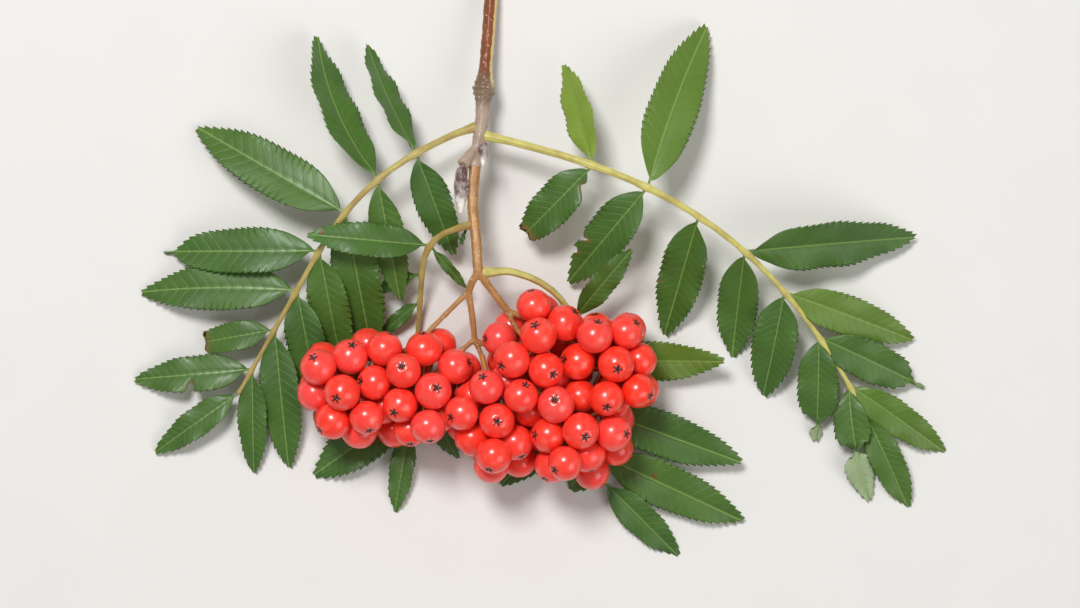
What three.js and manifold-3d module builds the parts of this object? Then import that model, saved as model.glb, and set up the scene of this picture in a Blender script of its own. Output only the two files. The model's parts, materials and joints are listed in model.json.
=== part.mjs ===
// A cut rowan sprig with ripe berries, laid on a flat surface.
// Millimetres, +Z up. The twig runs along Y with its cut end at +Y, and the berries hang towards -Y.
import * as THREE from 'three';
import { mergeVertices } from 'three/addons/utils/BufferGeometryUtils.js';
import Module from 'manifold-3d';

const wasm = await Module();
wasm.setup();

// Driving dimensions.
const jointGap = 0.3; // clear space between pieces that meet
const berryRadius = 4.5;
const berrySpacing = 2 * berryRadius + jointGap;
const berryStalkRadius = 0.5;
const sprayKnotRadius = 0.9;
const leafletThickness = 0.6;
const leafletWidthShare = 0.31; // of its length
const leafletArch = 0.06; // rise of the midrib over the line between its ends, as a share of its length
const leafletStations = 7;
const shingle = 12; // degrees each leaflet is turned about its midrib, so that neighbours overlap like slats
const bladeFold = 10; // degrees each half of a blade lifts from the midrib
const forkHeight = 20; // of the fruit stalk's fork above the surface
const leafletShape = { widest: 0.9, fullness: 0.85 }; // powers that set where a blade is widest and how full
const goldenAngle = Math.PI * (3 - Math.sqrt(5));

const colours = {
  bark: 0x7a4a2a,
  budScales: 0x5d4650,
  leafStalk: 0xb4a45c,
  fruitStalk: 0xb98540,
  leaf: 0x3f6b2c,
  berry: 0xee3b2c,
};

// Leaflets come in a few lengths, and the stipule is shaped like one.
const leafletLengths = {
  stipule: 3.2,
  tiny: 13,
  small: 22,
  short: 26,
  medium: 30,
  long: 35,
  large: 40,
  largest: 44,
};

// Leaves. A stalk heads off at an angle in plan and turns through another; both are in degrees from +X.
// Its heights are at even steps from its root to its end. Leaflet pairs sit at even spaces after a bare
// petiole. A leaflet is [length, heading, height of its tip, options].
const leaves = {
  left: {
    root: [-1.9, 38],
    heading: 205,
    turn: 35,
    bend: [0, 0.6],
    heights: [13, 16, 14, 9, 6],
    radius: 0.8,
    petiole: 16,
    spacing: 12,
    outer: [
      ['medium', 115, 6, { roll: 50, turn: -10 }],
      ['large', 115, 5, { roll: 45, turn: -30 }],
      ['largest', 150, 2],
      ['large', 180, 1],
      ['large', 180, 1, { turn: 10 }],
      ['small', 190, 1, { width: 8 }],
      ['medium', 185, 1, { width: 10 }],
    ],
    inner: [
      ['short', -70, 7, { width: 10 }],
      ['medium', -80, 7],
      ['long', -80, 1.5, { width: 13 }],
      ['medium', -80, 1.5, { width: 11 }],
      ['medium', -80, 1.5, { width: 11 }],
      ['long', -85, 1],
      ['short', -90, 1],
    ],
    terminal: ['short', -145, 1],
  },
  right: {
    root: [3, 35.5],
    heading: -15,
    turn: -45,
    bend: [0, 1],
    heights: [13, 19, 18, 12, 5],
    radius: 0.9,
    petiole: 28,
    spacing: 15,
    outer: [
      ['short', 105, 6, { roll: -35, width: 9 }],
      ['largest', 70, 2, { turn: -10 }],
      null,
      ['largest', 5, 3, { roll: 30 }],
      ['long', -20, 2],
      ['medium', -25, 1, { width: 11 }],
      ['medium', -35, 1],
    ],
    inner: [
      ['short', -135, 8, { width: 11 }],
      ['medium', -130, 4, { width: 12 }],
      ['medium', -105, 1, { arch: -0.02, width: 12 }],
      ['short', -95, 1, { arch: -0.1, width: 11 }],
      ['short', -100, 1, { width: 12 }],
      ['short', -90, 1, { width: 11 }],
      ['medium', -80, 1, { turn: 20, width: 10 }],
    ],
    terminal: ['short', -65, 1, { width: 9 }],
  },
  left_behind: {
    root: [-3.1, 12],
    heading: 195,
    turn: 70,
    bend: [0, 0.3],
    heights: [17, 12, 4, 2.5, 2.5],
    radius: 0.7,
    petiole: 11,
    spacing: 8,
    outer: [['medium', 175, 20], ['tiny', -160, 0.8], ['tiny', -140, 1]],
    inner: [['tiny', -50, 9, { width: 3 }], null, null],
    terminal: ['small', -100, 1],
    low: [[54, ['medium', -145, 1, { width: 13 }]], [48, ['small', -60, 1]]],
  },
  right_behind: {
    root: [2.6, 1.2],
    heading: -10,
    turn: -70,
    bend: [0, 0.5],
    heights: [19.5, 14, 5, 3.5, 3],
    radius: 0.8,
    petiole: 28,
    spacing: 12,
    outer: [['small', 50, 19], ['long', 0, 11, { arch: -0.1 }], ['large', -20, 5], ['large', -25, 2]],
    inner: [null, null, ['medium', -140, 1], null],
    terminal: ['short', -45, 0.5, { width: 9 }],
    low: [[61, ['tiny', -120, 1, { width: 10 }]]],
  },
};

// The fruit stalk is a tree of hand-laid runs from one stem. Each spray's branch leaves it at a fork
// and belongs to it as far as its collar; the spray's own stem goes on from there to the knot.
const middleFork = [0, 0, forkHeight];
const leftFork = [-2.5, -5, 18.5];
const lowFork = [-1, -17.5, 16.5];
const rightFork = [7.5, -10, 18];
const fruitStalk = [
  { radius: 1.6, points: [[-1, 26.8, 14.85], [-1.5, 18, 17], [-0.5, 8, 19], middleFork] },
  { radius: 1.2, points: [middleFork, [-1.5, -2.5, 19.5], leftFork] },
  { radius: 1, points: [leftFork, [-1.5, -12, 17.5], lowFork] },
  { radius: 1.2, points: [middleFork, [3, -4, 19.5], rightFork] },
];
const sprays = {
  far_left: { from: leftFork, collar: [-15, -17.5, 17], knot: [-32.5, -30, 17], count: 15 },
  mid_left: { from: lowFork, collar: [-4, -20, 16.5], knot: [-15, -30, 17], count: 17 },
  upper_right: { from: rightFork, collar: [10, -15, 17.5], knot: [15, -20, 17], count: 13 },
  far_right: { from: rightFork, collar: [18, -14, 17.5], knot: [32.5, -25, 17], count: 15 },
  lower_middle: { from: lowFork, collar: [1, -22, 16], knot: [5, -37.5, 17], count: 16 },
  lower_right: { from: lowFork, collar: [4, -20, 15], knot: [25, -40, 17], count: 16 },
};
const branchRadius = 0.8;
const branchTaper = 0.85; // of its radius, at the end of a branch of the fruit stalk
const sprayStemTaper = 0.8;

// Leaf stalks are thick at the foot, and end a little past the last pair.
const leafStalkFoot = 1.35; // of its radius
const leafStalkTip = 0.7;
const pastLastPair = 0.6; // of the spacing between pairs

// The twig is swollen where an older shoot ended. A short shoot beside its end carries the end bud.
const twig = {
  run: [[4, 86, 2], [3, 70, 5], [1.5, 50, 9], [0.6, 38, 12.5], [-1, 27.2, 14.8]],
  radius: 1.8,
  ringSwell: 0.9,
  ringAt: 0.64, // of the way from the cut end
  ringWidth: 0.04,
};
const shortShoot = { run: [[-0.8, 32, 14.3], [-2.8, 29.5, 15.8], [-4, 27.7, 17]], radii: [1.4, 1.8] };
const buds = {
  bud_terminal: { from: [-4.4, 26.9, 17.4], to: [-4.6, 15, 19], radius: 1.9 },
  bud_side: { from: [1.6, 33.5, 16.6], to: [1.2, 27.5, 18.5], radius: 1.1 },
};
const stipule = { base: [-3.6, 10.2, 15.6], shape: ['stipule', -110, 14.5, { width: 1.4 }] };

// Sides and steps of the tubes.
const leafStalkMesh = [6, 20];
const twigMesh = [8, 20];
const shortShootMesh = [8, 3];
const budMesh = [8, 6];
const branchSides = 6;
const sprayStemMesh = [6, 2];
const berryStalkMesh = [3, 1];

// How the berries of a spray sit.
const berryReach = 8.8; // from the knot to a berry's middle
const berryHeights = [10, 27]; // lowest and highest middle of a berry
const settleRounds = 400;
const inwardPull = 0.05; // share of the slack that a berry is drawn in by each round
const leafStalkPoints = 60; // points along a stalk that berries keep clear of
const branchPoints = 20;

const group = new THREE.Group();

function addPiece(name, geometry, colour, roughness) {
  const material = new THREE.MeshStandardMaterial({ color: colour, roughness, metalness: 0 });
  const mesh = new THREE.Mesh(geometry, material);
  mesh.name = name;
  group.add(mesh);
}

// A closed tube along a curve. radiusAt gives the radius at each share of the way.
function tube(curve, radiusAt, sides, steps) {
  const section = new THREE.Shape();
  for (let i = 0; i < sides; i++) {
    const angle = (2 * Math.PI * i) / sides;
    const corner = [Math.cos(angle), Math.sin(angle)];
    if (i === 0) section.moveTo(...corner);
    else section.lineTo(...corner);
  }
  section.closePath();
  const extruded = new THREE.ExtrudeGeometry(section, { steps, extrudePath: curve, bevelEnabled: false });
  const middles = curve.getSpacedPoints(steps);
  const places = extruded.getAttribute('position');
  const corner = new THREE.Vector3();
  for (let i = 0; i < places.count; i++) {
    corner.fromBufferAttribute(places, i);
    let nearest = 0;
    middles.forEach((middle, k) => {
      if (corner.distanceTo(middle) < corner.distanceTo(middles[nearest])) nearest = k;
    });
    corner.sub(middles[nearest]).multiplyScalar(radiusAt(nearest / steps)).add(middles[nearest]);
    places.setXYZ(i, corner.x, corner.y, corner.z);
  }
  return bare(extruded);
}

// Positions only, with shared corners merged.
function bare(geometry) {
  geometry.deleteAttribute('normal');
  geometry.deleteAttribute('uv');
  return mergeVertices(geometry, 1e-4);
}

function toSolid(geometry) {
  const vertProperties = new Float32Array(geometry.getAttribute('position').array);
  const triVerts = new Uint32Array(geometry.getIndex().array);
  return new wasm.Manifold(new wasm.Mesh({ numProp: 3, vertProperties, triVerts }));
}

function joined(geometries) {
  const whole = geometries.map(toSolid).reduce((sum, solid) => sum.add(solid));
  const mesh = whole.getMesh();
  const geometry = new THREE.BufferGeometry();
  geometry.setAttribute('position', new THREE.BufferAttribute(mesh.vertProperties, 3));
  geometry.setIndex(new THREE.BufferAttribute(mesh.triVerts, 1));
  return geometry;
}

function ball(radius, detail, place) {
  const geometry = new THREE.IcosahedronGeometry(radius, detail);
  geometry.translate(place.x, place.y, place.z);
  return bare(geometry);
}

function smoothRun(points) {
  return new THREE.CatmullRomCurve3(points.map((point) => new THREE.Vector3(...point)));
}

function planDirection(degrees) {
  const angle = THREE.MathUtils.degToRad(degrees);
  return new THREE.Vector3(Math.cos(angle), Math.sin(angle), 0);
}

// A leaflet is a thin folded blade: a point at each end and four corners at each station between.
function leafletBlade(base, [size, heading, tipHeight, options = {}]) {
  const length = leafletLengths[size];
  const { roll = shingle, turn = 0, width = length * leafletWidthShare, arch = leafletArch } = options;
  const stretches = leafletStations + 1;
  const midrib = [base.clone()];
  for (let k = 1; k <= stretches; k++) {
    const share = k / stretches;
    const step = planDirection(heading + turn * (share - 0.5)).multiplyScalar(length / stretches);
    const next = midrib[k - 1].clone().add(step);
    next.z = THREE.MathUtils.lerp(base.z, tipHeight, share) + length * arch * Math.sin(Math.PI * share);
    midrib.push(next);
  }
  const corners = [midrib[0]];
  for (let k = 1; k < stretches; k++) {
    const along = midrib[k + 1].clone().sub(midrib[k - 1]).normalize();
    const across = new THREE.Vector3(0, 0, 1).cross(along).normalize();
    across.applyAxisAngle(along, THREE.MathUtils.degToRad(roll));
    const upper = along.clone().cross(across);
    const half = (width / 2) * Math.sin(Math.PI * (k / stretches) ** leafletShape.widest) ** leafletShape.fullness;
    const fold = THREE.MathUtils.degToRad(bladeFold);
    const out = across.clone().multiplyScalar(half * Math.cos(fold));
    const lift = upper.clone().multiplyScalar(half * Math.sin(fold));
    const skin = upper.clone().multiplyScalar(leafletThickness / 2);
    const middle = midrib[k];
    corners.push(
      middle.clone().add(out).add(lift),
      middle.clone().add(skin),
      middle.clone().sub(out).add(lift),
      middle.clone().sub(skin),
    );
  }
  corners.push(midrib[stretches]);
  const faces = [];
  const ring = (k, side) => 1 + 4 * k + (side % 4);
  const last = leafletStations - 1;
  for (let side = 0; side < 4; side++) {
    faces.push(0, ring(0, side + 1), ring(0, side));
    faces.push(corners.length - 1, ring(last, side), ring(last, side + 1));
    for (let k = 0; k < last; k++) {
      faces.push(ring(k, side), ring(k, side + 1), ring(k + 1, side));
      faces.push(ring(k, side + 1), ring(k + 1, side + 1), ring(k + 1, side));
    }
  }
  const geometry = new THREE.BufferGeometry().setFromPoints(corners);
  geometry.setIndex(faces);
  return geometry;
}

function leafStalkRun(leaf, length) {
  const steps = 20;
  const heights = new THREE.SplineCurve(leaf.heights.map((height, i) => new THREE.Vector2(i, height)));
  const points = [];
  const place = new THREE.Vector3(leaf.root[0], leaf.root[1], 0);
  for (let k = 0; k <= steps; k++) {
    const share = k / steps;
    points.push([place.x, place.y, heights.getPoint(share).y]);
    const heading = leaf.heading + leaf.turn * THREE.MathUtils.smoothstep(share, ...leaf.bend);
    place.addScaledVector(planDirection(heading), length / steps);
  }
  return smoothRun(points);
}

// Builds one leaf and gives back its stalk's run, which the berries then keep clear of.
function addLeaf(name, leaf) {
  const { petiole, spacing, low = [] } = leaf;
  const lastPair = petiole + spacing * (leaf.outer.length - 1);
  const length = Math.max(lastPair, ...low.map(([distance]) => distance)) + spacing * pastLastPair;
  const run = leafStalkRun(leaf, length);
  const thickness = (share) => leaf.radius * THREE.MathUtils.lerp(leafStalkFoot, leafStalkTip, share);
  addPiece(`leaf_stalk_${name}`, tube(run, thickness, ...leafStalkMesh), colours.leafStalk, 0.6);
  const addLeaflet = (label, distance, shape) => {
    const share = Math.min(distance / length, 1);
    const offset = thickness(share) + 2 * jointGap;
    const base = run.getPointAt(share).addScaledVector(planDirection(shape[1]), offset);
    addPiece(`leaflet_${name}_${label}`, leafletBlade(base, shape), colours.leaf, 0.5);
  };
  for (const side of ['outer', 'inner']) {
    leaf[side].forEach((shape, pair) => {
      if (shape) addLeaflet(`${side}_${pair + 1}`, petiole + spacing * pair, shape);
    });
  }
  low.forEach(([distance, shape], i) => addLeaflet(`low_${i + 1}`, distance, shape));
  addLeaflet('terminal', length, leaf.terminal);
  return { points: run.getSpacedPoints(leafStalkPoints), radius: leaf.radius * leafStalkFoot };
}

// Berries start on golden-angle turns round their knot, then push apart until none touch.
function settleBerries(berries, obstacles) {
  const nearest = new THREE.Vector3();
  const stalkLine = new THREE.Line3();
  for (let round = 0; round < settleRounds; round++) {
    berries.forEach((berry, i) => {
      const outward = berry.place.clone().sub(berry.knot);
      const slack = outward.length() - berryReach;
      berry.place.addScaledVector(outward.normalize(), slack > 0 ? -slack * inwardPull : -slack);
      berries.slice(i + 1).forEach((other) => pushApart(berry.place, other.place, berrySpacing));
      for (const other of berries) {
        if (other === berry) continue;
        stalkLine.set(other.knot, other.place).closestPointToPoint(berry.place, true, nearest);
        pushAway(berry.place, nearest, berryRadius + berryStalkRadius + jointGap);
      }
      for (const { points, radius } of obstacles) {
        points.forEach((point) => pushAway(berry.place, point, berryRadius + radius + jointGap));
      }
      berry.place.z = THREE.MathUtils.clamp(berry.place.z, ...berryHeights);
    });
  }
}

function pushApart(one, other, wanted) {
  const between = other.clone().sub(one);
  const short = wanted - between.length();
  if (short <= 0) return;
  between.setLength(short / 2);
  one.sub(between);
  other.add(between);
}

function pushAway(place, point, wanted) {
  const away = place.clone().sub(point);
  const short = wanted - away.length();
  if (short > 0) place.add(away.setLength(short));
}

function taperedRun(points, radius, endRadius, sides, steps) {
  return tube(smoothRun(points), (share) => THREE.MathUtils.lerp(radius, endRadius, share), sides, steps);
}

function sprayStem({ collar, knot }) {
  const start = new THREE.Vector3(...collar);
  const end = new THREE.Vector3(...knot);
  start.addScaledVector(end.clone().sub(start).normalize(), jointGap);
  return [start.toArray(), end.toArray()];
}

function startingBerries({ knot, count }) {
  const middle = new THREE.Vector3(...knot);
  return Array.from({ length: count }, (_, i) => {
    const rise = 1 - (2 * i + 1) / count;
    const outward = new THREE.Vector3().setFromSphericalCoords(berryReach, Math.acos(rise), i * goldenAngle);
    return { knot: middle, place: outward.add(middle) };
  });
}

// A spray is its own stem, a knot, and the berries on stalks that fan out from the knot.
function addSpray(name, spray, berries) {
  const middle = new THREE.Vector3(...spray.knot);
  const stem = taperedRun(sprayStem(spray), branchRadius, branchRadius * sprayStemTaper, ...sprayStemMesh);
  const solids = [ball(sprayKnotRadius, 0, middle), stem];
  for (const { place } of berries) {
    const line = [middle.toArray(), place.toArray()];
    solids.push(ball(berryRadius, 1, place));
    solids.push(taperedRun(line, berryStalkRadius, berryStalkRadius, ...berryStalkMesh));
  }
  addPiece(`spray_${name}`, joined(solids), colours.berry, 0.35);
}

function addTwig() {
  const { run, radius, ringSwell, ringAt, ringWidth } = twig;
  const thickness = (share) => radius + ringSwell * Math.exp(-(((share - ringAt) / ringWidth) ** 2));
  const stem = tube(smoothRun(run), thickness, ...twigMesh);
  const shoot = taperedRun(shortShoot.run, ...shortShoot.radii, ...shortShootMesh);
  addPiece('twig', joined([stem, shoot]), colours.bark, 0.7);
}

function addBud(name, { from, to, radius }) {
  const run = new THREE.LineCurve3(new THREE.Vector3(...from), new THREE.Vector3(...to));
  const plump = (share) => radius * Math.sin(Math.PI * (0.22 + 0.7 * share)); // full near the foot, then pointed
  addPiece(name, tube(run, plump, ...budMesh), colours.budScales, 0.6);
}

function addFruitStalk() {
  const branches = Object.values(sprays).map(({ from, collar }) => ({
    radius: branchRadius,
    points: [from, collar],
  }));
  const runs = [...fruitStalk, ...branches];
  const tubes = runs.map(({ points, radius }) => {
    return taperedRun(points, radius, radius * branchTaper, branchSides, points.length * 2);
  });
  addPiece('fruit_stalk', joined(tubes), colours.fruitStalk, 0.55);
  return runs.map(({ points, radius }) => ({ points: smoothRun(points).getSpacedPoints(branchPoints), radius }));
}

addTwig();
Object.entries(buds).forEach(([name, bud]) => addBud(name, bud));
addPiece('stipule', leafletBlade(new THREE.Vector3(...stipule.base), stipule.shape), colours.leaf, 0.5);
const leafStalks = Object.entries(leaves).map(([name, leaf]) => addLeaf(name, leaf));
const fruitStalks = addFruitStalk();
const sprayStems = Object.values(sprays).map((spray) => ({
  points: smoothRun(sprayStem(spray)).getSpacedPoints(branchPoints),
  radius: branchRadius,
}));

const berries = Object.values(sprays).flatMap(startingBerries);
settleBerries(berries, [...leafStalks, ...fruitStalks, ...sprayStems]);
for (const [name, spray] of Object.entries(sprays)) {
  const knot = new THREE.Vector3(...spray.knot);
  addSpray(name, spray, berries.filter((berry) => berry.knot.equals(knot)));
}

// The origin is the middle of the footprint, on the surface.
const bounds = new THREE.Box3().setFromObject(group);
const middle = bounds.getCenter(new THREE.Vector3());
group.children.forEach((piece) => piece.geometry.translate(-middle.x, -middle.y, -bounds.min.z));

export default group;
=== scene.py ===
import json
import math
import random

import bmesh
import bpy
import numpy as np
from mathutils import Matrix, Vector, noise
from mathutils.kdtree import KDTree

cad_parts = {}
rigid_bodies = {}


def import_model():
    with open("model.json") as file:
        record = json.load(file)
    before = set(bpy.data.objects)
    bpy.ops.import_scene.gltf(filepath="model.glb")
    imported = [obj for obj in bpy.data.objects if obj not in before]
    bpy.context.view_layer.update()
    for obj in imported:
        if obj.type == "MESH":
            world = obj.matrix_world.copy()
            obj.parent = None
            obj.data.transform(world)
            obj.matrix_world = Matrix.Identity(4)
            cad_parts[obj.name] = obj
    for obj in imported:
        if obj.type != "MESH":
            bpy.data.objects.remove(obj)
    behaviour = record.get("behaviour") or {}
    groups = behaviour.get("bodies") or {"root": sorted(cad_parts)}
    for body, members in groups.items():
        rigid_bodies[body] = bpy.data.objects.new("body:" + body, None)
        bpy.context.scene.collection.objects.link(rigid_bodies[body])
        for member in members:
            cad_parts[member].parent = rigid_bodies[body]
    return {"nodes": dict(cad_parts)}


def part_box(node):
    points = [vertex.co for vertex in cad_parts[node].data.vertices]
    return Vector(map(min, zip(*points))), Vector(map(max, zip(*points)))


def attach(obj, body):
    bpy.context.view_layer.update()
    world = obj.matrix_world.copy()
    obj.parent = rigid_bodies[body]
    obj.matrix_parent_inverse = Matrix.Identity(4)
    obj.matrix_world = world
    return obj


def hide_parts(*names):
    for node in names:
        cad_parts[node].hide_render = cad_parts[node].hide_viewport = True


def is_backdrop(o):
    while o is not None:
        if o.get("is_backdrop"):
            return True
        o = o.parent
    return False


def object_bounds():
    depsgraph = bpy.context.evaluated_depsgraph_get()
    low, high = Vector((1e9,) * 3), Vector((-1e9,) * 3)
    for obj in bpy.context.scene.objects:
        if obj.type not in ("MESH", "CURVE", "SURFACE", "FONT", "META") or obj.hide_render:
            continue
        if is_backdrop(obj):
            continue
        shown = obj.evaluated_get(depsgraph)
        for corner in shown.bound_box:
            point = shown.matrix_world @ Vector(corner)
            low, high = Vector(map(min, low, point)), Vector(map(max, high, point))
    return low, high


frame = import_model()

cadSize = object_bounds()
mm = 0.001
nodeNames = sorted(frame["nodes"])
print("frame read:", len(nodeNames), "nodes")


# ---- reading the solids ----

def weldedSolid(nodeName):
    # the solids come as loose triangles
    bm = bmesh.new()
    bm.from_mesh(frame["nodes"][nodeName].data)
    bmesh.ops.remove_doubles(bm, verts=bm.verts, dist=0.01 * mm)
    bm.verts.ensure_lookup_table()
    return bm


def smoothstep(low, high, value):
    share = min(max((value - low) / (high - low), 0), 1)
    return share * share * (3 - 2 * share)


def alongSpline(points, place):
    # a smooth run through evenly spaced points
    first = min(max(int(place), 0), len(points) - 2)
    rest = place - first
    before, start = points[max(first - 1, 0)], points[first]
    end, after = points[first + 1], points[min(first + 2, len(points) - 1)]
    slope = end - before
    bend = 2 * before - 5 * start + 4 * end - after
    twist = 3 * start - before - 3 * end + after
    return 0.5 * ((2 * start) + slope * rest + bend * rest ** 2 + twist * rest ** 3)


# ---- materials ----

def colour(red, green, blue):
    def linear(value):
        value /= 255
        return value / 12.92 if value <= 0.04045 else ((value + 0.055) / 1.055) ** 2.4
    return (linear(red), linear(green), linear(blue), 1)


class Finish:
    # a material being wired, with short ways to add what the finishes here need
    def __init__(self, name, roughness, coat=0.0, subsurface=0.0):
        self.material = bpy.data.materials.new(name)
        self.material.use_nodes = True
        self.tree = self.material.node_tree
        self.shader = self.tree.nodes["Principled BSDF"]
        self.shader.inputs["Roughness"].default_value = roughness
        self.shader.inputs["Coat Weight"].default_value = coat
        self.shader.inputs["Coat Roughness"].default_value = 0.18
        self.shader.inputs["Subsurface Weight"].default_value = subsurface
        self.shader.inputs["Subsurface Scale"].default_value = 1.2 * mm
        self.place = self.tree.nodes.new("ShaderNodeTexCoord").outputs["Object"]

    def feed(self, socket, value):
        if isinstance(value, bpy.types.NodeSocket):
            self.tree.links.new(value, socket)
        else:
            socket.default_value = value

    def sum(self, operation, first, second=0.0):
        node = self.tree.nodes.new("ShaderNodeMath")
        node.operation = operation
        self.feed(node.inputs[0], first)
        self.feed(node.inputs[1], second)
        return node.outputs[0]

    def spread(self, value, low, high, start=0.0, end=1.0):
        node = self.tree.nodes.new("ShaderNodeMapRange")
        node.interpolation_type = "SMOOTHSTEP"
        for socket, number in zip(node.inputs[:5], (value, low, high, start, end)):
            self.feed(socket, number)
        return node.outputs[0]

    def noise(self, perMetre, detail=3.0, stretch=None):
        node = self.tree.nodes.new("ShaderNodeTexNoise")
        node.inputs["Scale"].default_value = perMetre
        node.inputs["Detail"].default_value = detail
        if stretch:
            mapping = self.tree.nodes.new("ShaderNodeMapping")
            mapping.inputs["Scale"].default_value = stretch
            self.feed(mapping.inputs["Vector"], self.place)
            self.feed(node.inputs["Vector"], mapping.outputs[0])
        else:
            self.feed(node.inputs["Vector"], self.place)
        return node.outputs["Fac"]

    def specks(self, perMetre, size):
        node = self.tree.nodes.new("ShaderNodeTexVoronoi")
        node.inputs["Scale"].default_value = perMetre
        self.feed(node.inputs["Vector"], self.place)
        return self.spread(node.outputs["Distance"], size, size * 0.4)

    def mix(self, share, first, second):
        node = self.tree.nodes.new("ShaderNodeMix")
        node.data_type = "RGBA"
        self.feed(node.inputs[0], share)
        self.feed(node.inputs[6], first)
        self.feed(node.inputs[7], second)
        return node.outputs[2]

    def attribute(self, name):
        node = self.tree.nodes.new("ShaderNodeAttribute")
        node.attribute_name = name
        return node.outputs["Fac"]

    def axis(self, name):
        node = self.tree.nodes.new("ShaderNodeSeparateXYZ")
        self.feed(node.inputs[0], self.place)
        return node.outputs[name]

    def done(self, paint, relief, depth):
        self.feed(self.shader.inputs["Base Color"], paint)
        bump = self.tree.nodes.new("ShaderNodeBump")
        bump.inputs["Strength"].default_value = 0.6
        bump.inputs["Distance"].default_value = depth
        self.feed(bump.inputs["Height"], relief)
        self.feed(self.shader.inputs["Normal"], bump.outputs[0])
        return self.material


leafPaint = {
    "deep": colour(42, 78, 24),
    "mid": colour(74, 114, 38),
    "yellowed": colour(132, 158, 48),
    "underside": colour(138, 158, 118),
    "rib": colour(128, 156, 76),
    "spot": colour(120, 52, 24),
    "bruise": colour(118, 92, 44),
}


def bladeFinish(name, fromColour, toColour, ribShare, roughness):
    finish = Finish(name, roughness, coat=0.08)
    uv = finish.tree.nodes.new("ShaderNodeUVMap")
    uv.uv_map = "blade"
    split = finish.tree.nodes.new("ShaderNodeSeparateXYZ")
    finish.feed(split.inputs[0], uv.outputs[0])
    side = finish.sum("ABSOLUTE", split.outputs["Y"])
    slanted = finish.sum("SUBTRACT", split.outputs["X"], finish.sum("MULTIPLY", side, 0.75))
    veinGap = finish.sum("ABSOLUTE", finish.sum("SUBTRACT", finish.sum("FRACT", slanted), 0.5))
    vein = finish.spread(veinGap, 0.07, 0.0)
    rib = finish.spread(side, 0.1, 0.03)
    paint = finish.mix(finish.noise(120), fromColour, toColour)
    paint = finish.mix(finish.attribute("tone"), paint, leafPaint["yellowed"])
    paint = finish.mix(finish.sum("MULTIPLY", vein, ribShare * 0.22), paint, leafPaint["rib"])
    paint = finish.mix(finish.sum("MULTIPLY", rib, ribShare), paint, leafPaint["rib"])
    rare = finish.sum("MULTIPLY", finish.specks(210, 0.16), finish.spread(finish.noise(45), 0.6, 0.66))
    paint = finish.mix(rare, paint, leafPaint["spot"])
    paint = finish.mix(finish.attribute("bruise"), paint, leafPaint["bruise"])
    relief = finish.sum("SUBTRACT", finish.noise(2600, 4), finish.sum("MULTIPLY", vein, 0.8))
    return finish.done(paint, relief, 0.12 * mm)


def stalkFinish(name, pale, dark, roughness, perMetre=260):
    finish = Finish(name, roughness, coat=0.1)
    streaks = finish.spread(finish.noise(perMetre, 4), 0.35, 0.7)
    paint = finish.mix(streaks, pale, finish.mix(0.4, pale, dark))
    paint = finish.mix(finish.attribute("tint"), paint, dark)
    paint = finish.mix(finish.sum("MULTIPLY", finish.specks(900, 0.2), 0.4), paint, dark)
    return finish.done(paint, finish.noise(1800, 5), 0.12 * mm)


def barkFinish(ringY):
    finish = Finish("twigBark", 0.42, coat=0.2)
    upper = finish.mix(finish.noise(300), colour(104, 48, 18), colour(150, 78, 28))
    lower = finish.mix(finish.noise(420, 5), colour(138, 112, 92), colour(198, 176, 158))
    ring = finish.mix(finish.noise(900, 5), colour(78, 54, 40), colour(136, 108, 82))
    height = finish.axis("Y")
    paint = finish.mix(finish.spread(height, ringY - 2 * mm, ringY + 5 * mm), lower, upper)
    nearRing = finish.spread(finish.sum("ABSOLUTE", finish.sum("SUBTRACT", height, ringY)), 7 * mm, 2.5 * mm)
    paint = finish.mix(finish.sum("MULTIPLY", nearRing, 0.8), paint, ring)
    paint = finish.mix(finish.attribute("tint"), paint, colour(216, 190, 124))
    wrinkles = finish.sum("ADD", finish.noise(1500, 5), finish.noise(700, 3, (1, 4, 1)))
    return finish.done(paint, wrinkles, 0.25 * mm)


def berryFinish():
    finish = Finish("berrySkin", 0.28, coat=0.35, subsurface=0.15)
    skin = finish.mix(finish.attribute("blush"), colour(250, 50, 24), colour(250, 72, 66))
    bloom = finish.spread(finish.noise(380, 3), 0.45, 0.75, 0.0, 0.35)
    paint = finish.mix(bloom, skin, colour(255, 124, 108))
    paint = finish.mix(finish.sum("MULTIPLY", finish.specks(1500, 0.16), 0.35), paint, colour(255, 160, 110))
    paint = finish.mix(finish.attribute("calyx"), paint, colour(40, 20, 14))
    return finish.done(paint, finish.noise(900, 3), 0.04 * mm)


twigLow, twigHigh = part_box("twig")
ringShare = 0.64  # of the twig's length from its cut end
ringY = twigHigh.y - ringShare * (twigHigh.y - twigLow.y)
finishes = {
    "bladeUpper": bladeFinish("bladeUpper", leafPaint["deep"], leafPaint["mid"], 0.7, 0.46),
    "bladeUnder": bladeFinish("bladeUnder", leafPaint["underside"], colour(158, 176, 134), 0.8, 0.6),
    "leafStalk": stalkFinish("leafStalkSkin", colour(206, 200, 112), colour(132, 82, 44), 0.45),
    "fruitStalk": stalkFinish("fruitStalkSkin", colour(186, 138, 80), colour(126, 68, 32), 0.5),
    "berryStalk": stalkFinish("berryStalkSkin", colour(196, 132, 62), colour(168, 70, 34), 0.5),
    "bark": barkFinish(ringY),
    "bud": stalkFinish("budScale", colour(92, 58, 58), colour(232, 226, 216), 0.4, 520),
    "lenticel": stalkFinish("lenticelCork", colour(222, 200, 166), colour(170, 140, 104), 0.8),
    "hair": stalkFinish("budHair", colour(236, 232, 224), colour(206, 200, 190), 0.7),
    "berry": berryFinish(),
}
print("finishes mixed:", len(finishes))


# ---- meshes ----

def addNumbers(mesh, name, values):
    layer = mesh.attributes.new(name, "FLOAT", "POINT")
    layer.data.foreach_set("value", np.asarray(values, np.float32))


def keepPiece(obj, slotName, *nodes):
    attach(obj, "root")
    if nodes:
        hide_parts(*nodes)


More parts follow.
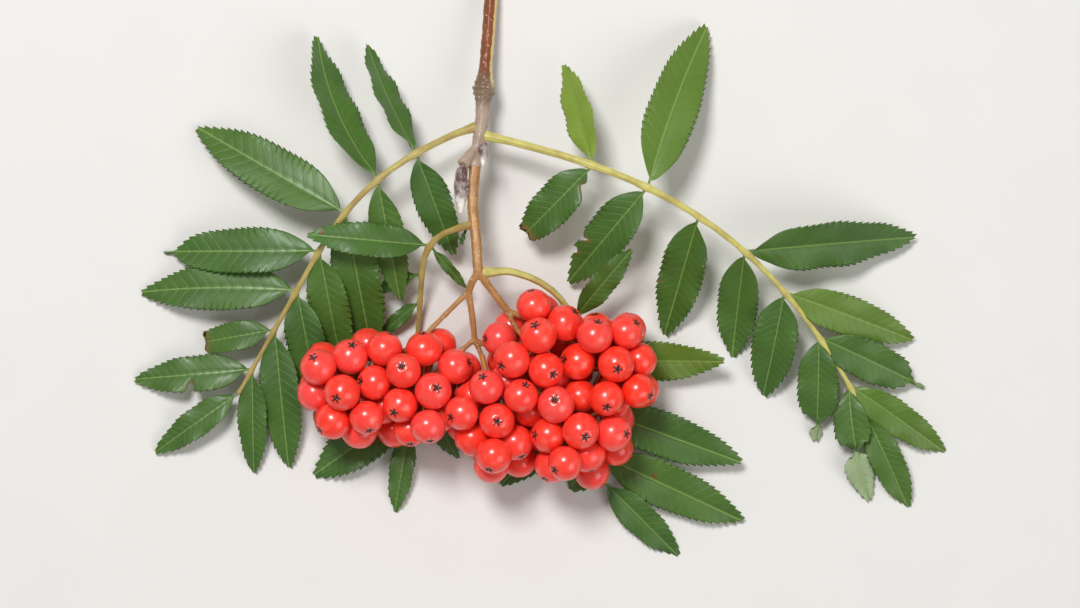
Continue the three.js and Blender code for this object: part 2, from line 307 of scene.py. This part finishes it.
def newObject(name, mesh):
    obj = bpy.data.objects.new(name, mesh)
    bpy.context.scene.collection.objects.link(obj)
    return obj


def facedOutward(mesh):
    bm = bmesh.new()
    bm.from_mesh(mesh)
    bmesh.ops.recalc_face_normals(bm, faces=bm.faces)
    bm.to_mesh(mesh)
    bm.free()
    mesh.shade_smooth()


# ---- leaflets ----

blade = {
    "across": [1, 0.93, 0.8, 0.6, 0.38, 0.16, 0, -0.16, -0.38, -0.6, -0.8, -0.93, -1],
    "stationsPerTooth": 5,
    "toothLength": 1.8 * mm,
    "toothDepth": 0.13,  # of the half width
    "teethFrom": 0.22,  # share of the length
    "widest": 0.38,
    "baseFullness": 2.6,
    "tipFullness": 2.7,
    "twistOver": 0.16,  # share of the length in which a tip turns over
    "twistPinch": 0.78,  # how much narrower the blade is where it turns
    "thickness": 0.3 * mm,
    "ribThickness": 0.35 * mm,
    "stub": 1.1 * mm,  # the short stalk that meets the leaf stalk
    "stubRadius": 0.35 * mm,
    "veinPairs": 14,
    "quilting": 0.08 * mm,
    "fold": 10,  # degrees each half lifts from the midrib
    "groove": 0.16 * mm,
    "toothFade": 0.45,  # how much smaller the teeth are at the tip
    "toothLean": 1.4,  # forward reach of a tooth, for each unit of its depth
    "lowest": 0.15 * mm,  # nothing sinks into the surface
    "wave": 0.45 * mm,
}

# what marks single leaflets: a twisted tip, a torn end, bites at the edge, a yellow tone
bladeHabits = {
    "leaflet_right_inner_7": {"twist": 165, "twistFrom": 0.46},
    "leaflet_right_inner_6": {"twist": 160, "twistFrom": 0.74},
    "leaflet_right_outer_6": {"twist": -160, "twistFrom": 0.8},
    "leaflet_left_outer_4": {"twist": 110, "twistFrom": 0.88},
    "leaflet_left_outer_6": {"torn": 0.8},
    "leaflet_left_outer_7": {"bites": [(0.5, 1, 0.55, 0.035)]},
    "leaflet_right_inner_1": {"bites": [(0.16, 1, 0.6, 0.05)], "torn": 0.88},
    "leaflet_right_inner_2": {"bites": [(0.62, -1, 0.4, 0.025), (0.75, -1, 0.3, 0.02)]},
    "leaflet_right_outer_1": {"tone": 0.75},
    "leaflet_right_outer_2": {"tone": 0.3},
    "leaflet_right_outer_5": {"tone": 0.35},
    "leaflet_right_outer_7": {"tone": 0.25},
    "leaflet_right_behind_outer_2": {"tone": 0.25},
}


def stalkOf(nodeName):
    names = [n for n in nodeNames if n.startswith("leaf_stalk_")]
    owners = [n for n in names if nodeName.startswith("leaflet_" + n[len("leaf_stalk_"):] + "_")]
    return max(owners, key=len)


def readBlade(nodeName, anchor):
    # gives the midrib, half widths and the across and up directions at even steps from base to tip
    bm = weldedSolid(nodeName)
    points = [v.co.copy() for v in bm.verts]
    ends = max(((a, b) for a in range(len(points)) for b in range(a)),
               key=lambda pair: (points[pair[0]] - points[pair[1]]).length)
    base, tip = sorted(ends, key=lambda i: min((points[i] - p).length for p in anchor))
    distance = {base: 0}
    queue = [bm.verts[base]]
    for vert in queue:
        for edge in vert.link_edges:
            other = edge.other_vert(vert)
            if other.index not in distance:
                distance[other.index] = distance[vert.index] + 1
                queue.append(other)
    stations = []
    for step in range(1, distance[tip]):
        ring = [points[i] for i, d in distance.items() if d == step]
        left, right = max(((a, b) for i, a in enumerate(ring) for b in ring[:i]),
                          key=lambda pair: (pair[0] - pair[1]).length)
        rib = sorted((p for p in ring if p is not left and p is not right),
                     key=lambda p: (p - (left + right) / 2).length)
        stations.append(((rib[0] + rib[1]) / 2, (left - right), (rib[0] - rib[1]).normalized()))
    midrib = [points[base]] + [s[0] for s in stations] + [points[tip]]
    bm.free()
    ups, acrosses, halves = [], [], []
    for i, (middle, width, up) in enumerate(stations):
        along = (midrib[i + 2] - midrib[i]).normalized()
        across = up.cross(along).normalized()
        ups.append(along.cross(across).normalized())
        acrosses.append(across)
        halves.append(width.length / 2)
    return midrib, [acrosses[0]] + acrosses + [acrosses[-1]], [ups[0]] + ups + [ups[-1]], max(halves)


def outlineShare(share):
    if share < blade["widest"]:
        return 1 - (1 - share / blade["widest"]) ** blade["baseFullness"]
    return 1 - ((share - blade["widest"]) / (1 - blade["widest"])) ** blade["tipFullness"]


def buildBlade(nodeName, anchor):
    midrib, acrosses, ups, half = readBlade(nodeName, anchor)
    if nodeName != "stipule":
        leafletBases.append((midrib[0], stalkOf(nodeName)))
    habit = bladeHabits.get(nodeName, {})
    chance = random.Random(nodeName)
    length = sum((b - a).length for a, b in zip(midrib, midrib[1:]))
    teeth = max(int(length / blade["toothLength"]), 2)
    count = teeth * blade["stationsPerTooth"]
    stubSteps = 3
    spans = len(midrib) - 1
    phase, waves = chance.uniform(0, 6.28), chance.uniform(2, 3.4)
    torn = habit.get("torn", 1)
    turnFrom = habit.get("twistFrom", 1)
    points, uvs, bruises = [], [], []
    shares = [-blade["stub"] / length * (1 - i / stubSteps) for i in range(stubSteps)]
    shares += [torn * (i + 0.3) / count for i in range(count)]
    bladeTop = len(blade["across"])
    for row, share in enumerate(shares):
        inside = max(share, 0)
        middle = alongSpline(midrib, inside * spans)
        across = alongSpline(acrosses, inside * spans).normalized()
        up = alongSpline(ups, inside * spans).normalized()
        along = across.cross(up).normalized()
        if share < 0:
            middle = middle + along * (share * length)
        twist = math.radians(habit.get("twist", 0)) * smoothstep(turnFrom, turnFrom + blade["twistOver"], inside)
        across, up = (across * math.cos(twist) + up * math.sin(twist),
                      up * math.cos(twist) - across * math.sin(twist))
        stubbed = 1 - smoothstep(0, 0.03, share)
        tooth = ((row - stubSteps) % blade["stationsPerTooth"]) / (blade["stationsPerTooth"] - 1)
        top, uvTop, worn = [], [], []
        for v in blade["across"]:
            side = 1 if v >= 0 else -1
            width = half * outlineShare(max(inside - (0.025 if side > 0 else 0), 0))
            rise = smoothstep(blade["teethFrom"] - 0.05, blade["teethFrom"] + 0.1, inside)
            bite = half * blade["toothDepth"] * rise * (1 - blade["toothFade"] * inside)
            edge = abs(v) ** 6
            width += bite * (tooth - 0.5) * edge
            mark = 0
            for where, biteSide, depth, reach in habit.get("bites", []):
                dent = math.exp(-((inside - where) / reach) ** 2) if side == biteSide else 0
                width *= 1 - depth * dent
                mark = max(mark, dent * smoothstep(0.4, 1, abs(v)))
            if torn < 1:
                ragged = 0.02 * math.sin(40 * v) + 0.012 * math.sin(97 * v + 2)
                mark = max(mark, smoothstep(torn - 0.09 + ragged, torn, inside))
            if turnFrom < 1:
                fromTurn = (inside - turnFrom - blade["twistOver"] / 2) / (blade["twistOver"] / 2)
                width *= 1 - blade["twistPinch"] * math.exp(-fromTurn ** 2)
            width = max(width, blade["stubRadius"])
            reachOut = width * v
            lift = abs(reachOut) * math.tan(math.radians(blade["fold"])) * (1 - 0.45 * abs(v))
            ripple = math.sin(phase + waves * 6.28 * inside + side)
            lift += blade["wave"] * v * v * side * ripple * (1 - stubbed)
            vein = inside * blade["veinPairs"] - 0.75 * abs(reachOut) / length * blade["veinPairs"]
            puff = abs(math.sin(math.pi * (vein - 0.5)))
            lift += blade["quilting"] * puff * (1 - stubbed) * (1 - abs(v) ** 4)
            if v == 0:
                lift -= blade["groove"] * (1 - stubbed)
            forward = bite * tooth * edge * blade["toothLean"]
            if torn < 1:
                forward += length * 0.03 * math.sin(23 * v + 1) * smoothstep(torn - 0.1, torn, inside)
            top.append(middle + across * reachOut + up * lift + along * forward)
            uvTop.append((inside * blade["veinPairs"], reachOut / length * blade["veinPairs"]))
            worn.append(mark)
        under, uvUnder = [], []
        for i in range(bladeTop - 2, 0, -1):
            v = blade["across"][i]
            flat = blade["thickness"] * (1 - 0.5 * abs(v)) + blade["ribThickness"] * math.exp(-(v / 0.1) ** 2)
            flat = flat * (1 - stubbed) + 2 * blade["stubRadius"] * math.sqrt(1 - v * v) * stubbed
            under.append(top[i] - up * flat)
            uvUnder.append(uvTop[i])
        points += top + under
        uvs += uvTop + uvUnder
        bruises += worn + [worn[i] for i in range(bladeTop - 2, 0, -1)]
    ring = 2 * bladeTop - 2
    for end, row in ((0, 0), (1, len(shares) - 1)):
        middle = sum((points[row * ring + i] for i in range(ring)), Vector()) / ring
        if end and torn == 1:
            middle = midrib[-1].copy()
        points.append(middle)
        uvs.append((end * blade["veinPairs"], 0))
        bruises.append(0)
    faces, slots = [], []
    for row in range(len(shares) - 1):
        for i in range(ring):
            after = (i + 1) % ring
            here, there = row * ring, (row + 1) * ring
            faces.append((here + i, here + after, there + after, there + i))
            slots.append(0 if i < bladeTop - 1 else 1)
    startPole, tipPole, lastRow = len(points) - 2, len(points) - 1, (len(shares) - 1) * ring
    for i in range(ring):
        after = (i + 1) % ring
        faces += [(startPole, after, i), (tipPole, lastRow + i, lastRow + after)]
        slots += [0 if i < bladeTop - 1 else 1] * 2
    for p in points:
        p.z = max(p.z, blade["lowest"])
    mesh = bpy.data.meshes.new(nodeName + "_blade")
    mesh.from_pydata(points, [], faces)
    mesh.materials.append(finishes["bladeUpper"])
    mesh.materials.append(finishes["bladeUnder"])
    mesh.polygons.foreach_set("material_index", slots)
    layer = mesh.uv_layers.new(name="blade")
    for loop in mesh.loops:
        layer.data[loop.index].uv = uvs[loop.vertex_index]
    tone = habit.get("tone", 0) + chance.uniform(0, 0.1)
    addNumbers(mesh, "tone", [tone] * len(points))
    addNumbers(mesh, "bruise", bruises)
    facedOutward(mesh)
    keepPiece(newObject(nodeName + "_blade", mesh), "leaf_blade", nodeName)


leafletBases = []
stalkPoints = {n: [v.co.copy() for v in frame["nodes"][n].data.vertices][::3]
               for n in nodeNames if n.startswith("leaf_stalk_")}
for nodeName in nodeNames:
    if nodeName.startswith("leaflet_"):
        buildBlade(nodeName, stalkPoints[stalkOf(nodeName)])
forkPoints = [v.co.copy() for v in frame["nodes"]["fruit_stalk"].data.vertices][::3]
buildBlade("stipule", forkPoints)
print("leaflets grown")


# ---- woody and green stems ----

stems = {
    "twig": {"voxel": 0.24, "rounds": 10, "knobble": 0.16, "grain": 700, "finish": "bark", "slot": "bark"},
    "fruit_stalk": {"voxel": 0.2, "rounds": 8, "knobble": 0.1, "grain": 500, "finish": "fruitStalk",
                    "slot": "fruit_stalk", "parent": "twig", "flare": 0.1, "flareReach": 4, "tint": 0.15},
    "bud_terminal": {"voxel": 0.16, "rounds": 5, "knobble": 0.1, "grain": 900, "finish": "bud",
                     "slot": "bud_scales", "parent": "twig", "flare": 0.15, "flareReach": 3},
    "bud_side": {"voxel": 0.12, "rounds": 4, "knobble": 0.08, "grain": 900, "finish": "bud",
                 "slot": "bud_scales", "parent": "twig", "flare": 0.1, "flareReach": 2},
    "leaf_stalk_left": {"parent": "twig", "tint": 0.5},
    "leaf_stalk_right": {"parent": "twig", "tint": 0.05},
    "leaf_stalk_left_behind": {"parent": "fruit_stalk", "tint": 0.65},
    "leaf_stalk_right_behind": {"parent": "fruit_stalk", "tint": 0.15},
}
leafStalk = {"voxel": 0.17, "rounds": 5, "knobble": 0.04, "grain": 400, "finish": "leafStalk",
             "slot": "leaf_stalk", "flare": 0.45, "flareReach": 6}
dive = 0.9 * mm  # how far a flared foot runs into its parent
ringScars = {"swell": 0.4, "ripple": 0.2, "spacing": 1.5 * mm, "spread": 3.2 * mm}


def growFoot(mesh, stem, parentMesh):
    # pulls the nearest end onto the parent's skin and widens it there
    tree = KDTree(len(parentMesh.vertices))
    for i, vert in enumerate(parentMesh.vertices):
        tree.insert(vert.co, i)
    tree.balance()
    closest = min(mesh.vertices, key=lambda v: tree.find(v.co)[2])
    root, target = closest.co.copy(), tree.find(closest.co)[0]
    pull = (target - root) + (target - root).normalized() * dive
    normals = [v.normal.copy() for v in mesh.vertices]
    for vert, normal in zip(mesh.vertices, normals):
        share = smoothstep(stem["flareReach"] * mm, 0, (vert.co - root).length)
        vert.co += pull * share + normal * stem["flare"] * mm * share ** 2


def tintOf(nodeName, stem, place, normal, low, high):
    if nodeName == "twig":  # the strip where bark is torn off
        ragged = normal.x + 0.12 * noise.noise(place * 260)
        return smoothstep(0.5, 0.62, ragged) * smoothstep(ringY - 1 * mm, ringY + 2 * mm, place.y)
    if nodeName.startswith("bud"):  # silky towards the point
        share = (high - place.y) / (high - low)
        return smoothstep(0.45, 0.85, share + 0.15 * noise.noise(place * 700))
    return stem["tint"] * (0.55 + 0.45 * max(normal.z, 0)) * (0.85 + 0.3 * noise.noise(place * 90))


def buildStem(nodeName, stem):
    if nodeName.startswith("leaf_stalk"):
        stem = leafStalk | stem
    bm = weldedSolid(nodeName)
    mesh = bpy.data.meshes.new(nodeName + "_skin")
    bm.to_mesh(mesh)
    bm.free()
    obj = newObject(nodeName + "_skin", mesh)
    remesh = obj.modifiers.new("skin", "REMESH")
    remesh.mode = "VOXEL"
    remesh.voxel_size = stem["voxel"] * mm
    smooth = obj.modifiers.new("smooth", "SMOOTH")
    smooth.iterations = stem["rounds"]
    smooth.factor = 0.5
    evaluated = obj.evaluated_get(bpy.context.evaluated_depsgraph_get())
    fine = bpy.data.meshes.new_from_object(evaluated)
    obj.modifiers.clear()
    obj.data = fine
    joints = [base for base, owner in leafletBases if owner == nodeName]
    normals = [v.normal.copy() for v in fine.vertices]
    for vert, normal in zip(fine.vertices, normals):
        bump = noise.noise(vert.co * stem["grain"]) * stem["knobble"]
        if nodeName == "twig":
            rings = math.exp(-((vert.co.y - ringY) / ringScars["spread"]) ** 2)
            ripple = math.sin(2 * math.pi * vert.co.y / ringScars["spacing"])
            bump += rings * (ringScars["swell"] + ringScars["ripple"] * ripple)
        if nodeName.startswith("bud"):
            bump += 0.07 * math.sin(vert.co.y / mm * 1.6 + vert.co.x / mm * 1.4)
        if joints:
            nearest = min((vert.co - joint).length for joint in joints)
            bump += 0.28 * math.exp(-(nearest / (1.7 * mm)) ** 2)
        vert.co += normal * bump * mm
    if "parent" in stem:
        growFoot(fine, stem, bpy.data.objects[stem["parent"] + "_skin"].data)
    fine.materials.clear()
    fine.materials.append(finishes[stem["finish"]])
    low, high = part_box(nodeName)[0].y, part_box(nodeName)[1].y
    addNumbers(fine, "tint", [tintOf(nodeName, stem, v.co, v.normal, low, high) for v in fine.vertices])
    fine.shade_smooth()
    keepPiece(obj, stem["slot"], nodeName)
    return obj


stemObjects = {name: buildStem(name, stem) for name, stem in stems.items()}
print("stems skinned")


# ---- node trees ----

def newTree(name, inputs):
    tree = bpy.data.node_groups.new(name, "GeometryNodeTree")
    tree.interface.new_socket("Geometry", in_out="INPUT", socket_type="NodeSocketGeometry")
    tree.interface.new_socket("Geometry", in_out="OUTPUT", socket_type="NodeSocketGeometry")
    for label, kind in inputs:
        tree.interface.new_socket(label, in_out="INPUT", socket_type="NodeSocket" + kind)
    return tree, tree.nodes.new("NodeGroupInput"), tree.nodes.new("NodeGroupOutput")


def addNode(tree, kind, **inputs):
    node = tree.nodes.new(kind)
    for label, value in inputs.items():
        socket = node.inputs[label.replace("_", " ")]
        if isinstance(value, bpy.types.NodeSocket):
            tree.links.new(value, socket)
        else:
            socket.default_value = value
    return node


def named(tree, name, kind):
    node = tree.nodes.new("GeometryNodeInputNamedAttribute")
    node.data_type = kind
    node.inputs["Name"].default_value = name
    return node.outputs["Attribute"]


def finished(tree, geometry, material, out):
    realized = addNode(tree, "GeometryNodeRealizeInstances", Geometry=geometry)
    painted = addNode(tree, "GeometryNodeSetMaterial", Geometry=realized.outputs[0], Material=material)
    tree.links.new(painted.outputs[0], out.inputs[0])


def grown(obj, tree, values):
    modifier = obj.modifiers.new("grown", "NODES")
    modifier.node_group = tree
    for item in tree.interface.items_tree:
        if item.in_out == "INPUT" and item.name in values:
            modifier[item.identifier] = values[item.name]
    evaluated = obj.evaluated_get(bpy.context.evaluated_depsgraph_get())
    mesh = bpy.data.meshes.new_from_object(evaluated)
    obj.modifiers.clear()
    obj.data = mesh
    mesh.shade_smooth()
    return obj


def specksTree(name):
    # scatters small pieces over a skin, standing on it
    tree, given, out = newTree(name, [("Piece", "Object"), ("Per Square Metre", "Float"), ("Seed", "Int"),
                                      ("Smallest", "Float"), ("Largest", "Float"), ("Finish", "Material")])
    spots = addNode(tree, "GeometryNodeDistributePointsOnFaces", Mesh=given.outputs["Geometry"],
                    Density=given.outputs["Per Square Metre"], Seed=given.outputs["Seed"])
    piece = addNode(tree, "GeometryNodeObjectInfo", Object=given.outputs["Piece"])
    size = tree.nodes.new("FunctionNodeRandomValue")
    tree.links.new(given.outputs["Smallest"], size.inputs[2])
    tree.links.new(given.outputs["Largest"], size.inputs[3])
    tree.links.new(given.outputs["Seed"], size.inputs["Seed"])
    placed = addNode(tree, "GeometryNodeInstanceOnPoints", Points=spots.outputs["Points"],
                     Instance=piece.outputs["Geometry"], Rotation=spots.outputs["Rotation"],
                     Scale=size.outputs[1])
    finished(tree, placed.outputs[0], given.outputs["Finish"], out)
    return tree


def berriesTree():
    # one berry on each point, its eye turned along the point's aim
    tree, given, out = newTree("berries", [("Berry", "Object"), ("Finish", "Material")])
    berry = addNode(tree, "GeometryNodeObjectInfo", Object=given.outputs["Berry"])
    turned = addNode(tree, "FunctionNodeAlignRotationToVector", Vector=named(tree, "aim", "FLOAT_VECTOR"))
    turned.axis = "Z"
    placed = addNode(tree, "GeometryNodeInstanceOnPoints", Points=given.outputs["Geometry"],
                     Instance=berry.outputs["Geometry"], Rotation=turned.outputs[0],
                     Scale=named(tree, "size", "FLOAT"))
    finished(tree, placed.outputs[0], given.outputs["Finish"], out)
    return tree


def stalksTree():
    # a round stalk along each line of points, as thick as the points say
    tree, given, out = newTree("berryStalks", [("Sides", "Int"), ("Finish", "Material")])
    lines = addNode(tree, "GeometryNodeMeshToCurve", Mesh=given.outputs["Geometry"])
    thick = named(tree, "thick", "FLOAT")
    sized = addNode(tree, "GeometryNodeSetCurveRadius", Curve=lines.outputs[0], Radius=thick)
    section = addNode(tree, "GeometryNodeCurvePrimitiveCircle", Resolution=given.outputs["Sides"], Radius=1.0)
    skin = addNode(tree, "GeometryNodeCurveToMesh", Curve=sized.outputs[0],
                   Profile_Curve=section.outputs[0], Fill_Caps=True)
    if "Scale" in skin.inputs:
        tree.links.new(thick, skin.inputs["Scale"])
    finished(tree, skin.outputs[0], given.outputs["Finish"], out)
    return tree


# ---- berries ----

berryShape = {
    "solidRadius": 4.5 * mm,
    "radius": 4.65 * mm,
    "squat": 0.95,
    "around": 40,
    "rings": [0.06, 0.13, 0.2, 0.27, 0.34, 0.42, 0.55, 0.75, 1.0,
              1.25, 1.5, 1.75, 2.0, 2.25, 2.5, 2.75, 2.95],  # radians from the eye
    "eyeReach": 0.3,  # radians from the pole to the tips of the star
    "eyeDepth": 0.07,
    "sizes": (0.96, 1.04),
    "lean": 0.35,
}
berryStalks = {"radius": 0.42 * mm, "atKnot": 0.55 * mm, "atBerry": 0.62 * mm, "sides": 8, "bow": 0.5 * mm}


def berryMesh():
    # the eye is the dried five-pointed star at the far end from the stalk
    points, calyx = [Vector((0, 0, berryShape["squat"] * (1 - berryShape["eyeDepth"] * 1.6)))], [1.0]
    around = berryShape["around"]
    for angle in berryShape["rings"]:
        for i in range(around):
            turn = 2 * math.pi * i / around
            arm = abs(math.cos(2.5 * turn)) ** 1.6
            star = berryShape["eyeReach"] * (0.35 + 0.65 * arm)
            inStar = smoothstep(star + 0.03, star - 0.05, angle) if angle < 0.5 else 0
            rim = math.exp(-((angle - 0.36) / 0.12) ** 2) * 0.02
            dent = berryShape["eyeDepth"] * math.exp(-(angle / 0.22) ** 2) * (1.4 - 0.5 * arm)
            stemEnd = 0.05 * math.exp(-((math.pi - angle) / 0.3) ** 2)
            reach = 1 + rim - dent - stemEnd + 0.018 * inStar * arm
            points.append(Vector((math.sin(angle) * math.cos(turn), math.sin(angle) * math.sin(turn),
                                  math.cos(angle) * berryShape["squat"])) * reach)
            calyx.append(min(inStar + math.exp(-(angle / 0.1) ** 2), 1))
    points.append(Vector((0, 0, -berryShape["squat"] * 0.94)))
    calyx.append(0.0)
    faces = [(0, 1 + i, 1 + (i + 1) % around) for i in range(around)]
    rows = len(berryShape["rings"])
    for row in range(rows - 1):
        start = 1 + row * around
        for i in range(around):
            after = (i + 1) % around
            faces.append((start + i, start + around + i, start + around + after, start + after))
    last = 1 + (rows - 1) * around
    faces += [(last + i, len(points) - 1, last + (i + 1) % around) for i in range(around)]
    mesh = bpy.data.meshes.new("berry")
    mesh.from_pydata([p * berryShape["radius"] for p in points], [], faces)
    addNumbers(mesh, "calyx", calyx)
    facedOutward(mesh)
    return mesh


def readSpray(nodeName):
    # berry middles are found from the facets that lie on their balls, and the knot is what is left
    bm = weldedSolid(nodeName)
    radius = berryShape["solidRadius"]
    guesses = []
    for face in bm.faces:
        a, b, c = (v.co for v in face.verts[:3])
        ab, ac = b - a, c - a
        normal = ab.cross(ac)
        if normal.length < 1e-9:
            continue
        toMiddle = (normal.cross(ab) * ac.length_squared + ac.cross(normal) * ab.length_squared)
        toMiddle = toMiddle / (2 * normal.length_squared)
        if toMiddle.length < radius * 0.7:
            depth = math.sqrt(radius ** 2 - toMiddle.length_squared)
            guesses.append(a + toMiddle - normal.normalized() * depth)
    middles = []
    left = guesses
    while left:
        near = [g for g in left if (g - left[0]).length < 0.08 * mm]
        if len(near) >= 12:
            middles.append(sum(near, Vector()) / len(near))
        left = [g for g in left if (g - left[0]).length >= 0.08 * mm]
    stalky = [v.co.copy() for v in bm.verts
              if min((v.co - m).length for m in middles) > radius + 0.1 * mm]
    bm.free()
    knot = Vector([float(np.median([p[axis] for p in stalky])) for axis in range(3)])
    reach = max((p - knot).length for p in stalky)
    collar = [p for p in stalky if (p - knot).length > reach - 1.2 * mm]
    return middles, knot, sum(collar, Vector()) / len(collar)


def lineObject(name, lines):
    points = [p for line, _ in lines for p in line]
    edges, thick, start = [], [], 0
    for line, radii in lines:
        edges += [(start + i, start + i + 1) for i in range(len(line) - 1)]
        thick += radii
        start += len(line)
    mesh = bpy.data.meshes.new(name)
    mesh.from_pydata(points, edges, [])
    addNumbers(mesh, "thick", thick)
    return newObject(name, mesh)


def buildSpray(nodeName, berryPattern, berryTree, stalkTree):
    middles, knot, collar = readSpray(nodeName)
    chance = random.Random(nodeName)
    aims, sizes, blushes, lines = [], [], [], []
    for middle in middles:
        outward = (middle - knot).normalized()
        aside = outward.orthogonal().normalized()
        lean = Vector([chance.uniform(-1, 1) for _ in range(3)]) * berryShape["lean"]
        aims.append((outward + lean).normalized())
        sizes.append(chance.uniform(*berryShape["sizes"]))
        blushes.append(chance.random())
        end = middle - outward * berryShape["radius"] * 0.86
        steps = 6
        line, radii = [], []
        for i in range(steps + 1):
            share = i / steps
            line.append(knot.lerp(end, share) + aside * berryStalks["bow"] * math.sin(math.pi * share))
            swell = berryStalks["atKnot"] if share < 0.2 else berryStalks["radius"]
            radii.append(swell + (berryStalks["atBerry"] - berryStalks["radius"]) * smoothstep(0.75, 1, share))
        lines.append((line, radii))
    stemSteps = 8
    back = collar + (collar - knot).normalized() * 0.6 * mm
    lines.append(([back.lerp(knot, i / stemSteps) for i in range(stemSteps + 1)],
                  [(0.74 - 0.1 * i / stemSteps) * mm for i in range(stemSteps + 1)]))
    mesh = bpy.data.meshes.new(nodeName + "_berries")
    mesh.from_pydata(middles, [], [])
    aimLayer = mesh.attributes.new("aim", "FLOAT_VECTOR", "POINT")
    aimLayer.data.foreach_set("vector", [x for aim in aims for x in aim])
    addNumbers(mesh, "size", sizes)
    addNumbers(mesh, "blush", blushes)
    berries = newObject(nodeName + "_berries", mesh)
    grown(berries, berryTree, {"Berry": berryPattern, "Finish": finishes["berry"]})
    keepPiece(berries, "berry_skin", nodeName)
    stalks = lineObject(nodeName + "_stalks", lines)
    grown(stalks, stalkTree, {"Sides": berryStalks["sides"], "Finish": finishes["berryStalk"]})
    keepPiece(stalks, "fruit_stalk")
    return len(middles)


berryPattern = newObject("berryPattern", berryMesh())
berryTree, stalkTree = berriesTree(), stalksTree()
total = sum(buildSpray(n, berryPattern, berryTree, stalkTree) for n in nodeNames if n.startswith("spray_"))
bpy.data.objects.remove(berryPattern)
print("berries hung:", total)


# ---- lenticels and bud hairs ----

def patternObject(name, segments, rings, size):
    bm = bmesh.new()
    bmesh.ops.create_uvsphere(bm, u_segments=segments, v_segments=rings, radius=1)
    for vert in bm.verts:
        vert.co = Vector((vert.co.x * size[0], vert.co.y * size[1], vert.co.z * size[2])) * mm
    mesh = bpy.data.meshes.new(name)
    bm.to_mesh(mesh)
    bm.free()
    return newObject(name, mesh)


scatters = {
    "twig_lenticels": {"on": "twig", "density": 90000, "size": (0.14, 0.3, 0.05), "finish": "lenticel",
                       "slot": "bark", "range": (0.6, 1.3)},
    "fruit_stalk_lenticels": {"on": "fruit_stalk", "density": 260000, "size": (0.17, 0.34, 0.07),
                              "finish": "lenticel", "slot": "fruit_stalk", "range": (0.5, 1.1)},
    "bud_terminal_hairs": {"on": "bud_terminal", "density": 2400000, "size": (0.04, 0.04, 0.5),
                           "finish": "hair", "slot": "bud_scales", "range": (0.5, 1.2)},
}
speckTree = specksTree("scatteredSpecks")
for name, scatter in scatters.items():
    pattern = patternObject(name + "_pattern", 6, 4, scatter["size"])
    skin = newObject(name, stemObjects[scatter["on"]].data.copy())
    smallest, largest = scatter["range"]
    grown(skin, speckTree, {"Piece": pattern, "Per Square Metre": float(scatter["density"]), "Seed": 7,
                            "Smallest": smallest, "Largest": largest, "Finish": finishes[scatter["finish"]]})
    keepPiece(skin, scatter["slot"])
    bpy.data.objects.remove(pattern)
print("lenticels and hairs set")


# ---- studio ----

studio = {
    "floor": colour(226, 224, 220),
    "cameraHeight": 1.0,
    "viewWidth": 0.2808,
    "aimShare": 0.412,  # of the sprig's depth, from its low end to the view's middle
    "sensor": 36,
}
low, high = cadSize
floorMesh = bpy.data.meshes.new("floor")
floorMesh.from_pydata([(-3, -3, 0), (3, -3, 0), (3, 3, 0), (-3, 3, 0)], [], [(0, 1, 2, 3)])
floorFinish = Finish("floorPaper", 0.9)
floorPaint = floorFinish.mix(floorFinish.noise(40), studio["floor"], colour(222, 220, 216))
floorMesh.materials.append(floorFinish.done(floorPaint, floorFinish.noise(900), 0.02 * mm))
floor = newObject("floor", floorMesh)
floor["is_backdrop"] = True


def addLight(name, place, size, power):
    light = bpy.data.lights.new(name, "AREA")
    light.shape = "DISK"
    light.size = size
    light.energy = power
    obj = newObject(name, light)
    obj.location = place
    obj.rotation_euler = (-Vector(place)).to_track_quat("-Z", "Y").to_euler()
    obj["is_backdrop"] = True


addLight("keyLight", (-0.25, 0.45, 1.1), 0.35, 11.5)
addLight("fillLight", (0.8, -0.5, 0.9), 0.9, 5)
world = bpy.data.worlds.new("softRoom")
world.use_nodes = True
world.node_tree.nodes["Background"].inputs["Color"].default_value = (1, 1, 1, 1)
world.node_tree.nodes["Background"].inputs["Strength"].default_value = 0.28
bpy.context.scene.world = world

cameraData = bpy.data.cameras.new("camera")
cameraData.sensor_width = studio["sensor"]
cameraData.lens = studio["sensor"] * studio["cameraHeight"] / studio["viewWidth"]
camera = newObject("camera", cameraData)
camera.location = ((low.x + high.x) / 2, low.y + studio["aimShare"] * (high.y - low.y),
                   studio["cameraHeight"] + 15 * mm)
bpy.context.scene.camera = camera
bpy.context.scene.view_settings.view_transform = "Standard"
print("studio lit")


def plainNumbers(value):
    if hasattr(value, "__len__"):
        return [plainNumbers(v) for v in value]
    return float(value)


{"cad": plainNumbers(cadSize), "whole": plainNumbers(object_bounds())}
